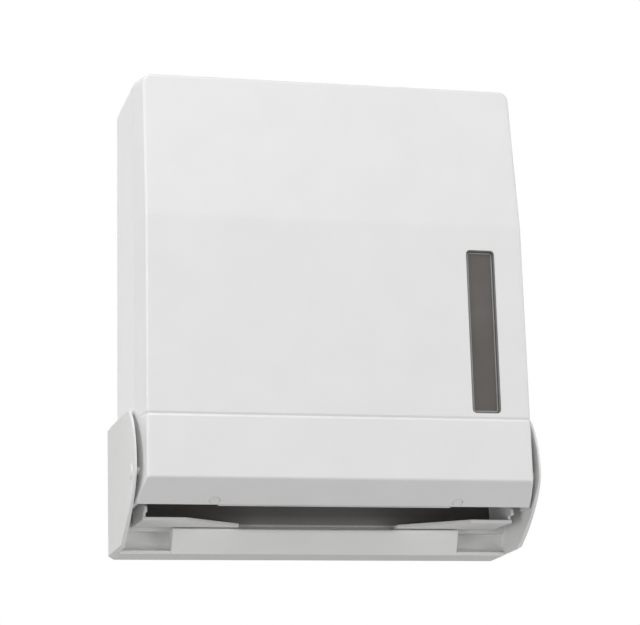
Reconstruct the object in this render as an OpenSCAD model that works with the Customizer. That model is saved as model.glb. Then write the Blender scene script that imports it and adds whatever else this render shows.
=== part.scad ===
// Folded towel dispenser: a wall housing with a cover that hinges down and forward.
// Every module works from the front face (Y = 0, growing towards the wall) and from
// the bottom edge (Z = 0). in_place() then moves it to the middle of the wall screws.

/* [Cover] */
// width across the sides of the cover at its lower end
cover_w = 291; // [275:0.5:310]
// height of the cover's top face
cover_top = 340; // [322:1:370]
// front face to rear rim
cover_depth = 102; // [97:0.5:110]
// thickness of the cover's walls
cover_wall = 2.5; // [2:0.1:3.2]
// how far the front face's edges lie inside the sides
front_inset = 5.3; // [3:0.1:9]
// depth of the bevels between the front face and the sides
bevel_d = 28; // [24:0.5:36]
// how much narrower each side is at the top
top_taper = 1.8; // [0:0.1:3]
// how much wider each side is at the rear rim
rear_draft = 0.5; // [0:0.1:1]
// height where the front face starts to lean back
break_z = 230; // [226:1:270]
// how far the front leans back at the top
slope_d = 13; // [6:0.5:22]
// height of the chin's front edge
chin_z = 41; // [36:0.5:46]
// height of the chin's rear edge
chin_low = 26; // [24:0.5:30]
// depth of the chin's rear edge
chin_d = 25.6; // [20:0.2:30]
// rounding of the front edges
edge_r = 2.5; // [1:0.1:4]
// rounding of the two top corners
corner_r = 7; // [5:0.5:12]
// height of the styling groove
groove_z = 86; // [70:0.5:87]
// width of the styling groove
groove_w = 1.6; // [1:0.1:2.4]
// depth of the styling groove
groove_deep = 0.8; // [0.4:0.1:1.2]
// depth where the lower edge of the side walls starts to rise
side_cut_d = 44; // [38:1:50]
// height of the side walls' lower edge at the rear rim
side_cut_z = 66; // [62:1:76]

/* [Window] */
// distance of the window's centre from the cover's right side
window_side = 38; // [35.5:0.5:55]
// height of the window's centre
window_z = 151; // [146:0.5:158]
// width of the opening in the cover
window_w = 21.5; // [16:0.5:24]
// height of the opening in the cover
window_h = 121.5; // [100:0.5:126]
// play between the window and the opening
window_gap = 0.2; // [0.1:0.05:0.4]
// rounding of the opening's corners
window_r = 3; // [2.2:0.1:4]
// thickness of the window's rim and side walls
window_border = 0.5; // [0.5:0.1:1]
// how far the pane lies behind the window's rim
window_recess = 2.3; // [1.6:0.1:2.4]
// width of the groove round the pane
window_groove = 0.5; // [0.4:0.1:1]
// thickness left behind the groove
window_floor = 0.6; // [0.5:0.05:0.7]
// how far the flange reaches behind the cover
window_flange = 3.5; // [2.5:0.1:4]
// thickness of the flange
window_flange_t = 1.65; // [1.2:0.05:2.2]
// thickness of the retainer frame
retainer_t = 2.2; // [1.8:0.1:3]
// distance of the window's screws from its middle line
window_screw_dx = 7; // [5:0.5:9]
// distance of the window's screws from the end of the flange
window_screw_end = 3.9; // [3.6:0.1:4.6]

/* [Exit lip] */
// distance of the rivets from the cover's sides
rivet_side = 56.5; // [36:0.5:75]
// distance of the rivets from the chin's rear edge
rivet_s = 4.6; // [4.4:0.1:6]
// radius of the rivet heads
rivet_head_r = 3.6; // [3:0.1:4]
// radius of the rivet shanks
rivet_r = 1.8; // [1.4:0.1:2.2]
// how far the part of the lip that shows stops short of the rivets
lip_short = 4; // [1:0.5:28]
// how far the lip strip reaches past the rivets
lip_end = 6; // [5:0.5:8]
// height of the lip strip along the chin
lip_h = 10; // [9.4:0.1:12]
// thickness of the lip strip
lip_t = 1.8; // [1.4:0.1:2.4]
// how far the lip shows below the chin
lip_drop = 0.6; // [0.4:0.1:1]

/* [Housing] */
// front face of the cover to the wall
total_depth = 125; // [117:1:140]
// front face of the cover to the back panel
panel_d = 92.5; // [90:0.5:95]
// thickness of the housing's walls
wall = 2.5; // [2:0.1:3]
// play between the cover's sides and the housing's upper part
base_gap = 6; // [5.5:0.25:7.5]
// play between the cover's rear rim and the housing's shoulders
rim_gap = 2.5; // [1.5:0.1:3.5]
// play between the housing and the inside of the cover's top
top_gap = 4; // [2.5:0.5:8]
// play between the cover's sides and the cheeks
cheek_gap = 0.7; // [0.5:0.1:1.5]
// thickness of the cheeks
cheek_t = 2.8; // [2.4:0.1:3.6]
// depth of the cheeks' upper front corner
cheek_front = 30; // [26:1:40]
// height of the cheeks' upper front corner
cheek_top = 93; // [88:1:96]
// height of the cheeks' shoulder at the wall
shoulder_z = 96; // [94:1:104]
// depth where the cheeks' lower edge meets the bottom
heel_d = 66; // [56:1:80]
// depth of the cheeks' nose
nose_d = 5.5; // [4:0.5:8]
// height of the cheeks' nose
nose_z = 50; // [46:1:54]
// depth where the cheeks start to thin towards the nose
thin_d = 44; // [38:1:56]
// thickness of the cheeks at the nose
nose_t = 1.2; // [1:0.1:2]
// width of the chamfer along the bottom outer corners
foot_x = 4; // [2:0.2:4.4]
// height of the chamfer along the bottom outer corners
foot_z = 2.4; // [1.6:0.1:2.8]
// distance of the ramp's ends from the cheeks
ramp_side = 38.7; // [32:0.1:52]
// gap between the ramp's top edge and the tray
ramp_gap = 0.4; // [0.3:0.1:2]
// how far the ramp's top stands out from its foot
ramp_lean = 8.3; // [4:0.1:10]
// length of the rounding along the ramp's top edge
ramp_round = 4; // [2:0.1:4.4]
// depth of the recesses beside the ramp
recess_deep = 7; // [4:0.5:8]
// height of the recesses' upper edge
recess_top = 16.6; // [15:0.1:17]
// thickness of the ribs behind the panel
rib_t = 2; // [1.6:0.1:2.6]
// depth of the ribs behind the panel
rib_d = 16; // [10:1:20]
// distance of the upright ribs from the middle
rib_x = 44; // [30:1:60]
// height of the lower rib
rib_low = 120; // [110:1:140]
// height of the upper rib
rib_high = 230; // [210:1:240]

/* [Wall screws] */
// height of the middle of the screw pattern
mount_height = 180; // [160:1:200]
// distance between the screws from side to side
mount_dx = 180; // [150:5:190]
// distance between the screws from top to bottom
mount_dz = 200; // [160:5:210]
// radius of the screw holes
mount_hole_r = 2.75; // [2.25:0.05:3.25]
// radius of the bosses around the screw holes
mount_boss_r = 8; // [6:0.5:10]

/* [Tray] */
// play between the cover's sides and the tray's ends
tray_gap = 8.5; // [8:0.25:12.5]
// depth of the wings' front edge
tray_front = 44; // [42:0.5:50]
// height of the underside of the wings' front edge
tray_z = 17.3; // [16:0.1:18.5]
// thickness of the tray
tray_t = 2.4; // [2:0.1:2.8]
// how much the tray rises towards the wall, in degrees
tray_tilt = 2; // [1:0.25:4]
// width of the wings at their front edge
wing_front = 31; // [22:1:47]
// width of the wings at their back edge
wing_back = 77; // [62:1:92]
// depth of the wings' inner corners
throat_d = 81; // [76:0.5:83]
// height of the end walls' top edge
end_top = 31; // [29:0.5:33]
// depth of the tooth on each end wall
tooth_d = 37.5; // [37:0.5:41]
// thickness of the end walls
end_t = 2; // [1.6:0.1:2.6]
// height of the tray's screws above its front edge
tray_screw_up = 32; // [30:0.5:34]
// distance of the tray's outer screws from its ends
tray_screw_edge = 19; // [12:1:26]
// distance between the two screws of a side
tray_screw_pitch = 58; // [40:1:70]
// how far the tray's rear flange reaches above the screws
tray_flange = 7; // [5:0.5:8]

/* [Guides] */
// height of the guides' upper end
guide_top = 290; // [250:1:300]
// depth of the guides' front edge
guide_front = 52; // [50:1:70]
// thickness of the guides
guide_t = 2; // [1.6:0.1:2.6]
// play between the guides and the tray
guide_gap = 1; // [0.5:0.1:2]
// length of the guides' cut corners
guide_cut = 8; // [5:0.5:12]
// width of the guides' flanges on the panel
guide_flange = 16; // [14:0.5:20]
// thickness of the flanges
guide_flange_t = 2.2; // [1.8:0.1:2.8]
// height of the guides' lower screws
guide_screw_low = 72; // [68:1:100]
// distance of the guides' upper screws from the upper end
guide_screw_down = 40; // [20:1:60]

/* [Hinge] */
// depth of the hinge axis
pivot_d = 20; // [19:0.25:22]
// height of the hinge axis
pivot_z = 48; // [47:0.25:50]
// radius of the hinge pins
pin_r = 3; // [2.5:0.1:3.6]
// play between the pins and the cover
pin_fit = 0.06; // [0.03:0.01:0.1]
// radius of the pin heads
pin_head_r = 5.5; // [4.5:0.1:7]
// how far the pin heads stand out
pin_head_h = 0.9; // [0.5:0.1:1.5]
// radius of the bosses for the pins inside the cover
hinge_boss_r = 7; // [6:0.2:8]
// how far these bosses reach in from the cover's sides
hinge_boss_l = 8; // [6:0.5:10]

/* [Lock] */
// depth of the lock's axis
lock_d = 52; // [48:0.5:54]
// radius of the lock body
lock_r = 8; // [7.4:0.1:9]
// radius of the lock's head
lock_head_r = 11; // [10.6:0.1:13]
// height of the lock's head
lock_head_h = 2.5; // [2.2:0.1:4]
// thickness of the washer under the cover's top
washer_t = 1; // [0.8:0.1:1.6]
// how much wider the washer is than the lock body
washer_w = 4; // [3:0.25:5]
// height of the nut
nut_h = 4.5; // [3.5:0.25:6]
// how much wider the nut's corners are than the lock body
nut_w = 5; // [4.5:0.25:6]
// radius of the turning plug
plug_r = 5.5; // [5.2:0.1:6]
// play between the plug and the body
plug_fit = 0.06; // [0.03:0.01:0.1]
// length of the cam from the axis to its tip
cam_l = 25; // [23:0.5:27]
// width of the cam
cam_w = 10; // [8:0.5:11]
// thickness of the cam
cam_t = 2.5; // [2:0.1:3]
// distance of the cam below the cover's top
cam_down = 22; // [19:0.5:24]
// side of the square that turns the cam
cam_square = 6.8; // [6:0.1:7.2]
// how far the cam's hook reaches down
hook_h = 12; // [10:0.5:14]
// thickness of the hook
hook_t = 3; // [2.5:0.1:3.5]

/* [Keeper] */
// distance of the keeper below the cover's top
keeper_down = 44; // [41:0.5:48]
// width of the keeper's plate
keeper_w = 36; // [34:0.5:44]
// height of the keeper's plate
keeper_h = 22; // [20:0.5:26]
// thickness of the keeper's sheet
keeper_t = 2; // [1.6:0.1:2.4]
// width of the keeper's lip
keeper_lip_w = 18; // [14:0.5:18]
// height of the keeper's lip
keeper_lip_h = 15; // [13:0.5:17]
// distance of the lip behind the lock's axis
keeper_reach = 16.5; // [13:0.25:16.75]
// distance of the keeper's screws from the ends of its plate
keeper_screw_edge = 7; // [5:0.25:7.5]
// height of the keeper's screws above its lower edge
keeper_screw_up = 14; // [10:0.5:16]

/* [Screws] */
// radius of the screws in the housing
screw_r = 1.9; // [1.6:0.05:2.2]
// radius of their heads
screw_head_r = 3.8; // [3.4:0.1:4.2]
// height of their heads
screw_head_h = 2.2; // [1.6:0.1:3]
// how far they reach into the panel's bosses
screw_l = 9; // [7:0.5:9.5]
// length of the bosses
screw_boss_l = 10; // [10:0.5:14]
// wall of the bosses around the screws
screw_boss_w = 1.9; // [1.5:0.1:2.5]
// play of the screws in their holes
screw_gap = 0.05; // [0.03:0.01:0.15]
// radius of the window's screws
small_r = 1.25; // [1:0.05:1.4]
// radius of their heads
small_head_r = 2.6; // [2.2:0.1:3]
// height of their heads
small_head_h = 1.6; // [1.2:0.1:2]
// radius of the bosses for them inside the cover
small_boss_r = 3.2; // [2.8:0.1:3.5]

/* [Hidden] */
$fn = 64;
half = cover_w / 2;
half_top = half - top_taper;
side_front = half - front_inset;
side_break = side_front - top_taper * 0.35;
side_top = side_front - top_taper;
cheek_in = half + rear_draft + cheek_gap;
cheek_out = cheek_in + cheek_t;
pin_seat = cheek_in + 1.6;
base_top = cover_top - cover_wall - top_gap;
base_x = half - base_gap;
web_d = cover_depth + rim_gap;
lower_h = side_cut_z - 12;
shoulder_run = cheek_out - base_x;
ramp_x = cheek_in - ramp_side;
ramp_h = tray_z + (panel_d - ramp_lean - 0.2 - tray_front) * tan(tray_tilt) - ramp_gap;
chin_a = atan2(chin_z - chin_low, chin_d);
window_x = half - window_side;
rivet_x = half - rivet_side;
lip_x = rivet_x - lip_short;
lip_gap = 0.03;
lip_foot = chin_d + cover_wall / sin(chin_a);
lip_back = lip_foot + 1.5;
panel_back = panel_d + wall;
tray_x = half - tray_gap;
throat_wide = tray_x - wing_front;
throat_narrow = tray_x - wing_back;
tray_screw_z = tray_z + tray_screw_up;
tray_flange_top = tray_screw_z + tray_flange;
tray_screw_out = tray_x - tray_screw_edge;
tray_screw_in = tray_screw_out - tray_screw_pitch;
tray_screw_x = [-tray_screw_out, -tray_screw_in, tray_screw_in, tray_screw_out];
guide_screw_z = [guide_screw_low, guide_top - guide_screw_down];
guide_low = end_top + guide_gap;
guide_screw_x = tray_x - (guide_flange + guide_t) / 2;
keeper_z = cover_top - keeper_down;
keeper_screw_x = keeper_w / 2 - keeper_screw_edge;
keeper_screw_z = keeper_z + keeper_screw_up;
cam_z = cover_top - cam_down;
washer_z = cover_top - cover_wall - washer_t;
nut_z = washer_z - nut_h;
window_seat = cover_wall + 0.05;
retainer_d = window_seat + window_flange_t;
window_screw_dz = window_h / 2 + window_flange + window_screw_end;

// Side outline of the cover, from the chin's front edge round by the top.
side_line = [
    [0, chin_z],
    [0, break_z],
    [slope_d, cover_top],
    [cover_depth, cover_top],
    [cover_depth, chin_low],
    [chin_d, chin_low]
];

// Unit normal to the right of a direction, which points into the outline.
function right_of(e) = [e[1], -e[0]] / norm(e);

// Corner i of the outline, moved inward by r from both of its edges.
function inset(line, i, r) =
    let (
        n = len(line),
        p = line[i],
        n1 = right_of(p - line[(i + n - 1) % n]),
        n2 = right_of(line[(i + 1) % n] - p)
    )
    p + r * (n1 + n2) / (1 + n1 * n2);

// Point on the chin: s up from its rear edge, n into the wall.
function chin_pt(s, n) = [
    chin_d - s * cos(chin_a) + n * sin(chin_a),
    chin_low + s * sin(chin_a) + n * cos(chin_a)
];

// Points of the smooth curve from a to d that b and c pull, without its two ends.
function bend(a, b, c, d, n = 12) = [
    for (i = [1 : n - 1])
        let (t = i / n, u = 1 - t)
        u * u * u * a + 3 * u * u * t * b + 3 * u * t * t * c + t * t * t * d
];

module in_place() {
    translate([0, -total_depth, -mount_height])
        children();
}

// A prism along X from a side outline.
module side_prism(points, x0, x1) {
    translate([x0, 0, 0])
        rotate([90, 0, 90])
            linear_extrude(x1 - x0)
                polygon(points);
}

// A prism along Y from a front outline.
module front_prism(points, y0, y1) {
    translate([0, y1, 0])
        rotate([90, 0, 0])
            linear_extrude(y1 - y0)
                polygon(points);
}

module both_sides() {
    children();
    mirror([1, 0, 0])
        children();
}

// A rod along Y.
module y_rod(r, y0, y1) {
    translate([0, y0, 0])
        rotate([-90, 0, 0])
            cylinder(r = r, h = y1 - y0);
}

// A rod along X.
module x_rod(r, x0, x1) {
    translate([x0, 0, 0])
        rotate([0, 90, 0])
            cylinder(r = r, h = x1 - x0);
}

// A cross recess, open towards +Z.
module cross_recess(size, deep) {
    translate([0, 0, -deep / 2]) {
        cube([size, size / 4, deep + 0.02], center = true);
        cube([size / 4, size, deep + 0.02], center = true);
    }
}

// A pan-head screw: head above Z = 0, shank below.
module screw(head_r, head_h, shank_r, length) {
    difference() {
        union() {
            cylinder(r1 = head_r, r2 = head_r * 0.82, h = head_h);
            translate([0, 0, -length])
                cylinder(r = shank_r, h = length);
        }
        translate([0, 0, head_h])
            cross_recess(head_r * 1.1, head_h * 0.6);
    }
}

// A screw through something on the back panel.
module panel_screw(seat) {
    translate([0, seat, 0])
        rotate([90, 0, 0])
            screw(screw_head_r, screw_head_h, screw_r, panel_d - seat + screw_l);
}

module panel_screw_hole() {
    y_rod(screw_r + screw_gap, panel_d - 10, panel_d + screw_boss_l);
}

// A bar along Y with rounded long edges, 2x wide and 2z high.
module rounded_bar(x, z, r, y0, y1) {
    translate([-x + r, y0, -z])
        cube([2 * (x - r), y1 - y0, 2 * z]);
    translate([-x, y0, -z + r])
        cube([2 * x, y1 - y0, 2 * (z - r)]);
    for (sx = [-1, 1], sz = [-1, 1])
        translate([sx * (x - r), 0, sz * (z - r)])
            y_rod(r, y0, y1);
}

// One corner of a hull.
module corner(x, p) {
    translate([x, p[0], p[1]])
        cube(0.02, center = true);
}

// The cover's full outside shape.
module cover_solid() {
    p0 = inset(side_line, 0, edge_r);
    p1 = inset(side_line, 1, edge_r);
    p2 = inset(side_line, 2, edge_r);
    hull() {
        for (s = [-1, 1]) {
            translate([s * (side_front - edge_r), p0[0], p0[1]])
                sphere(edge_r, $fn = 24);
            translate([s * (side_break - edge_r), p1[0], p1[1]])
                sphere(edge_r, $fn = 24);
            for (a = [0, 30, 60, 90]) {
                z = cover_top - corner_r + (corner_r - edge_r) * sin(a);
                y = p1[0] + (p2[0] - p1[0]) * (z - p1[1]) / (p2[1] - p1[1]);
                x = side_top - corner_r + (corner_r - edge_r) * cos(a);
                translate([s * x, y, z])
                    sphere(edge_r, $fn = 24);
            }
            for (y = [bevel_d, cover_depth - 0.02]) {
                x = half_top - corner_r + (y > bevel_d ? rear_draft : 0);
                translate([s * x, y, cover_top - corner_r])
                    rotate([-90, 0, 0])
                        cylinder(r = corner_r, h = 0.02, $fn = 48);
            }
            corner(s * half, [chin_d, chin_low]);
            corner(s * (half + rear_draft), [cover_depth, chin_low]);
        }
    }
}

// The hollow inside the cover, open to the rear and below.
module cover_hollow() {
    w = cover_wall;
    p0 = inset(side_line, 0, w);
    p1 = inset(side_line, 1, w);
    p2 = inset(side_line, 2, w);
    low = chin_low - 12;
    foot = chin_pt((low - chin_low - w * cos(chin_a)) / sin(chin_a), w);
    knee = chin_pt((chin_d + w * sin(chin_a) - bevel_d) / cos(chin_a), w);
    hull() {
        for (s = [-1, 1]) {
            corner(s * (side_front - w), p0);
            corner(s * (side_break - w), p1);
            corner(s * (side_top - w), p2);
            corner(s * (half_top - w), [bevel_d, cover_top - w]);
            corner(s * (half_top + rear_draft - w), [cover_depth + 1, cover_top - w]);
            corner(s * (half - w), knee);
            corner(s * (half - w), foot);
            corner(s * (half + rear_draft - w), [cover_depth + 1, low]);
        }
    }
}

module window_screws_at() {
    for (dx = [-1, 1], dz = [-1, 1])
        translate([window_x + dx * window_screw_dx, 0, window_z + dz * window_screw_dz])
            children();
}

module rivets_at() {
    for (s = [-1, 1])
        translate([s * rivet_x, chin_pt(rivet_s, 0)[0], chin_pt(rivet_s, 0)[1]])
            rotate([-chin_a, 0, 0])
                children();
}

module front_cover() {
    color("white")
    difference() {
        cover_solid();
        difference() {
            cover_hollow();
            both_sides()
                translate([0, pivot_d, pivot_z])
                    x_rod(hinge_boss_r, half - hinge_boss_l, half + hinge_boss_l);
            window_screws_at()
                y_rod(small_boss_r, 0, retainer_d);
        }
        // lower rear part of the side walls
        side_prism(
            [
                [side_cut_d, chin_low],
                [side_cut_d, chin_low - 5],
                [cover_depth + 5, chin_low - 5],
                [cover_depth + 5, side_cut_z],
                [cover_depth, side_cut_z]
            ],
            -half - 10, half + 10
        );
        // styling groove
        side_prism(
            [[-1, groove_z - groove_w], [groove_deep, groove_z], [-1, groove_z + groove_w]],
            -half, half
        );
        // hinge bores
        translate([0, pivot_d, pivot_z])
            x_rod(pin_r + pin_fit, -half - 10, half + 10);
        // window opening
        translate([window_x, 0, window_z])
            rounded_bar(window_w / 2, window_h / 2, window_r, -1, cover_wall + 2);
        window_screws_at()
            y_rod(small_r + screw_gap, 1.1, retainer_d + 1);
        // hole for the lock
        translate([0, lock_d, cover_top - cover_wall - 1])
            cylinder(r = lock_r + 0.2, h = cover_wall + 2);
        rivets_at() {
            translate([0, 0, -1])
                cylinder(r = rivet_head_r + 0.15, h = 2.05);
            cylinder(r = rivet_r + screw_gap, h = cover_wall + 3);
        }
    }
}

module level_window() {
    x = window_w / 2 - window_gap;
    z = window_h / 2 - window_gap;
    r = window_r - window_gap;
    w = window_border;
    g = w + window_groove;
    pane = 0.2 + window_recess;
    deep = retainer_d - window_floor;
    color([0.3, 0.28, 0.26])
    translate([window_x, 0, window_z])
    difference() {
        union() {
            rounded_bar(x, z, r, 0.2, retainer_d);
            translate([-x - window_flange, window_seat, -z - window_flange])
                cube([2 * (x + window_flange), window_flange_t, 2 * (z + window_flange)]);
        }
        // groove round the pane
        difference() {
            rounded_bar(x - w, z - w, r - w, -1, deep);
            rounded_bar(x - g, z - g, 1, -2, deep + 1);
        }
        rounded_bar(x - g + 0.1, z - g + 0.1, 1, -1, pane);
    }
}

module window_retainer() {
    x = window_w / 2 + window_flange + 1;
    z = window_screw_dz + small_head_r + 1.4;
    color("gainsboro")
    difference() {
        translate([window_x - x, retainer_d, window_z - z])
            cube([2 * x, retainer_t, 2 * z]);
        translate([window_x - window_w / 2, retainer_d - 1, window_z - window_h / 2])
            cube([window_w, retainer_t + 2, window_h]);
        window_screws_at()
            y_rod(small_r + 3 * screw_gap, retainer_d - 1, retainer_d + retainer_t + 1);
    }
}

module window_screws() {
    color("silver")
    window_screws_at()
        translate([0, retainer_d + retainer_t, 0])
            rotate([-90, 0, 0])
                screw(small_head_r, small_head_h, small_r, retainer_t + 2.6);
}

module exit_lip() {
    n = cover_wall + lip_gap;
    t = n + lip_t;
    foot = chin_pt((-lip_gap - n * cos(chin_a)) / sin(chin_a), n);
    rear = chin_pt((chin_d + t * sin(chin_a) - lip_back) / cos(chin_a), t);
    color("white")
    difference() {
        union() {
            side_prism(
                [
                    chin_pt(lip_h, n),
                    chin_pt(lip_h, t),
                    rear,
                    [lip_back, chin_low - lip_drop + 1],
                    [lip_back - 0.4, chin_low - lip_drop + 0.7],
                    [chin_d + 1, chin_low - lip_drop],
                    [chin_d + 1, chin_low - lip_gap],
                    foot
                ],
                -lip_x, lip_x
            );
            side_prism(
                [chin_pt(lip_h, n), chin_pt(lip_h, t), chin_pt(0, t), chin_pt(0, n)],
                -rivet_x - lip_end, rivet_x + lip_end
            );
        }
        rivets_at()
            cylinder(r = rivet_r + screw_gap, h = t + 2);
    }
}

module lip_rivets() {
    t = cover_wall + lip_gap + lip_t;
    color("white")
    rivets_at() {
        cylinder(r = rivet_head_r, h = 1);
        cylinder(r = rivet_r, h = t + 0.5);
        translate([0, 0, t])
            cylinder(r1 = rivet_r + 1.1, r2 = rivet_r + 0.4, h = 1);
    }
}

// Outline of a cheek, from the bottom at the wall round by the nose.
function cheek_line() =
    let (
        up = [cheek_front, cheek_top],
        nose = [nose_d, nose_z],
        down = [heel_d, 0],
        above = nose_z + 0.37 * (cheek_top - nose_z),
        near_up = [nose_d + 0.35 * (cheek_front - nose_d), cheek_top - 8],
        near_down = [nose_d + 0.34 * (heel_d - nose_d), 0.4 * nose_z]
    )
    concat(
        [[total_depth, 0], down],
        bend(down, near_down, [nose_d, 0.72 * nose_z], nose),
        [nose],
        bend(nose, [nose_d, above], near_up, up),
        [up, [web_d, shoulder_z], [total_depth, shoulder_z]]
    );

module wall_screws_at() {
    for (dx = [-1, 1], dz = [-1, 1])
        translate([dx * mount_dx / 2, 0, mount_height + dz * mount_dz / 2])
            children();
}

module panel_screws_at() {
    for (x = tray_screw_x)
        translate([x, 0, tray_screw_z])
            children();
    for (s = [-1, 1], z = guide_screw_z)
        translate([s * guide_screw_x, 0, z])
            children();
    for (s = [-1, 1])
        translate([s * keeper_screw_x, 0, keeper_screw_z])
            children();
}

// Back panel and rim of the housing.
module housing_shell() {
    deep = total_depth - panel_d;
    translate([-base_x, panel_d, 0])
        cube([2 * base_x, wall, base_top]);
    translate([-cheek_in - 1, panel_d, 0])
        cube([2 * cheek_in + 2, wall, lower_h]);
    translate([-base_x, panel_d, base_top - wall])
        cube([2 * base_x, deep, wall]);
    translate([-cheek_in - 1, panel_d, 0])
        cube([2 * cheek_in + 2, deep, wall]);
    both_sides() {
        translate([base_x - wall, panel_d, lower_h - wall])
            cube([wall, deep, base_top - lower_h + wall]);
        translate([base_x - wall, panel_d, lower_h - wall])
            cube([cheek_in + 1 - base_x + wall, web_d + wall - panel_d, wall]);
        front_prism(
            [
                [base_x - wall, lower_h - wall],
                [cheek_in + 1, lower_h - wall],
                [cheek_out, shoulder_z],
                [base_x, shoulder_z + shoulder_run],
                [base_x - wall, shoulder_z + shoulder_run]
            ],
            web_d, web_d + wall
        );
        front_prism(
            [
                [cheek_out, shoulder_z],
                [base_x - wall, shoulder_z + shoulder_run + wall],
                [base_x - wall, shoulder_z + shoulder_run - wall],
                [cheek_out, shoulder_z - wall * 2]
            ],
            web_d, total_depth
        );
    }
}

// Ramp under the tray: s is 0 for its outside and 1 for its hollow.
module ramp(s) {
    w = wall * s;
    foot = panel_d - 0.2;
    k = ramp_lean / ramp_h;
    x = ramp_x - w;
    top = [foot - ramp_lean + k * w + w * 1.1, ramp_h - w];
    reach = ramp_round * (1 - s) + 0.5 * s;
    low = top + [k, -1] * reach / norm([k, 1]);
    high = top + [reach, 0];
    side_prism(
        concat(
            [low],
            bend(low, (low + 2 * top) / 3, (2 * top + high) / 3, high, 6),
            [
                high,
                [panel_back + s, ramp_h - w],
                [panel_back + s, w],
                [foot - k * w + w * 1.1, w]
            ]
        ),
        -x, x
    );
}

module rear_housing() {
    color("whitesmoke")
    difference() {
        union() {
            housing_shell();
            both_sides()
                side_prism(cheek_line(), cheek_in, cheek_out);
            ramp(0);
            // shells of the recesses beside the ramp
            both_sides()
                translate([ramp_x - wall, panel_d, 0])
                    cube([cheek_in + 1 - ramp_x + wall, recess_deep + wall, recess_top + wall]);
            wall_screws_at()
                y_rod(mount_boss_r, panel_d, total_depth);
            panel_screws_at()
                y_rod(screw_r + screw_boss_w, panel_d, panel_d + screw_boss_l);
            // ribs behind the panel
            both_sides()
                translate([rib_x, panel_d, lower_h - wall])
                    cube([rib_t, rib_d, base_top - lower_h + wall]);
            for (z = [rib_low, rib_high])
                translate([-base_x, panel_d, z])
                    cube([2 * base_x, rib_d, rib_t]);
        }
        ramp(1);
        both_sides()
            translate([ramp_x, panel_d - 1, wall])
                cube([cheek_in - ramp_x, recess_deep + 1, recess_top - wall]);
        // outer faces of the cheeks, which thin towards the nose
        both_sides()
            translate([0, 0, -1])
                linear_extrude(shoulder_z + 1)
                    polygon([
                        [cheek_out, thin_d], [cheek_in + nose_t, nose_d - 1],
                        [cheek_out + 2, nose_d - 1], [cheek_out + 2, thin_d]
                    ]);
        // seats of the hinge pins' heads
        both_sides()
            translate([0, pivot_d, pivot_z])
                x_rod(pin_head_r + 0.3, pin_seat, cheek_out + 1);
        // chamfers along the bottom outer corners
        both_sides()
            front_prism(
                [[cheek_out - foot_x, 0], [cheek_out, foot_z], [cheek_out + 2, foot_z], [cheek_out + 2, -1], [cheek_out - foot_x, -1]],
                heel_d - 10, total_depth + 1
            );
        wall_screws_at()
            y_rod(mount_hole_r, panel_d - 1, total_depth + 1);
        panel_screws_at()
            panel_screw_hole();
        translate([0, pivot_d, pivot_z])
            x_rod(pin_r + 0.02, -cheek_out - 1, cheek_out + 1);
    }
}

module towel_tray() {
    deep = (panel_d - tray_front - 0.4) / cos(tray_tilt);
    throat = (throat_d - tray_front) / cos(tray_tilt);
    rear_z = tray_z + (panel_d - tray_front) * tan(tray_tilt);
    mid = tray_t / 2;
    end_x = tray_x - 0.5;
    color("whitesmoke")
    difference() {
        union() {
            // two wings of the shelf
            translate([0, tray_front, tray_z])
                rotate([tray_tilt, 0, 0])
                    linear_extrude(tray_t)
                        both_sides()
                            polygon([
                                [throat_wide, 0], [tray_x, 0], [tray_x, deep],
                                [throat_narrow, deep], [throat_narrow, throat]
                            ]);
            // rear flange
            translate([-end_x, panel_d - tray_t, rear_z + mid])
                cube([2 * end_x, tray_t, tray_flange_top - rear_z - mid]);
            // end walls
            both_sides()
                side_prism(
                    [
                        [tray_front + 1, tray_z + mid],
                        [tray_front + 1, tray_z + 5],
                        [tooth_d, tray_z + 5],
                        [tooth_d, tray_z + 9],
                        [tooth_d + 3.5, end_top - 1.5],
                        [tooth_d + 9, end_top],
                        [panel_d - 1, end_top],
                        [panel_d - 1, rear_z + mid]
                    ],
                    end_x - end_t, end_x
                );
        }
        for (x = tray_screw_x)
            translate([x, 0, tray_screw_z])
                panel_screw_hole();
    }
}

module tray_screws() {
    color("silver")
    for (x = tray_screw_x)
        translate([x, 0, tray_screw_z])
            panel_screw(panel_d - tray_t);
}

module right_stack_guide() {
    step_d = panel_d - tray_t - guide_gap;
    step_z = tray_flange_top + guide_gap;
    color("whitesmoke")
    difference() {
        union() {
            side_prism(
                [
                    [guide_front, guide_low + guide_cut],
                    [guide_front, guide_top - guide_cut],
                    [guide_front + guide_cut, guide_top],
                    [panel_d, guide_top],
                    [panel_d, step_z],
                    [step_d, step_z],
                    [step_d, guide_low],
                    [guide_front + guide_cut, guide_low]
                ],
                tray_x - guide_t, tray_x
            );
            translate([tray_x - guide_flange, panel_d - guide_flange_t, step_z])
                cube([guide_flange, guide_flange_t, guide_top - step_z]);
        }
        for (z = guide_screw_z)
            translate([guide_screw_x, 0, z])
                panel_screw_hole();
    }
}

module left_stack_guide() {
    mirror([1, 0, 0])
        right_stack_guide();
}

module guide_screws() {
    color("silver")
    for (s = [-1, 1], z = guide_screw_z)
        translate([s * guide_screw_x, 0, z])
            panel_screw(panel_d - guide_flange_t);
}

module right_hinge_pin() {
    color("white")
    translate([0, pivot_d, pivot_z]) {
        x_rod(pin_r, half - hinge_boss_l - 1, pin_seat + pin_head_h / 2);
        translate([pin_seat, 0, 0])
            rotate([0, 90, 0])
                cylinder(r1 = pin_head_r, r2 = pin_head_r - 0.6, h = pin_head_h);
    }
}

module left_hinge_pin() {
    mirror([1, 0, 0])
        right_hinge_pin();
}

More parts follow.
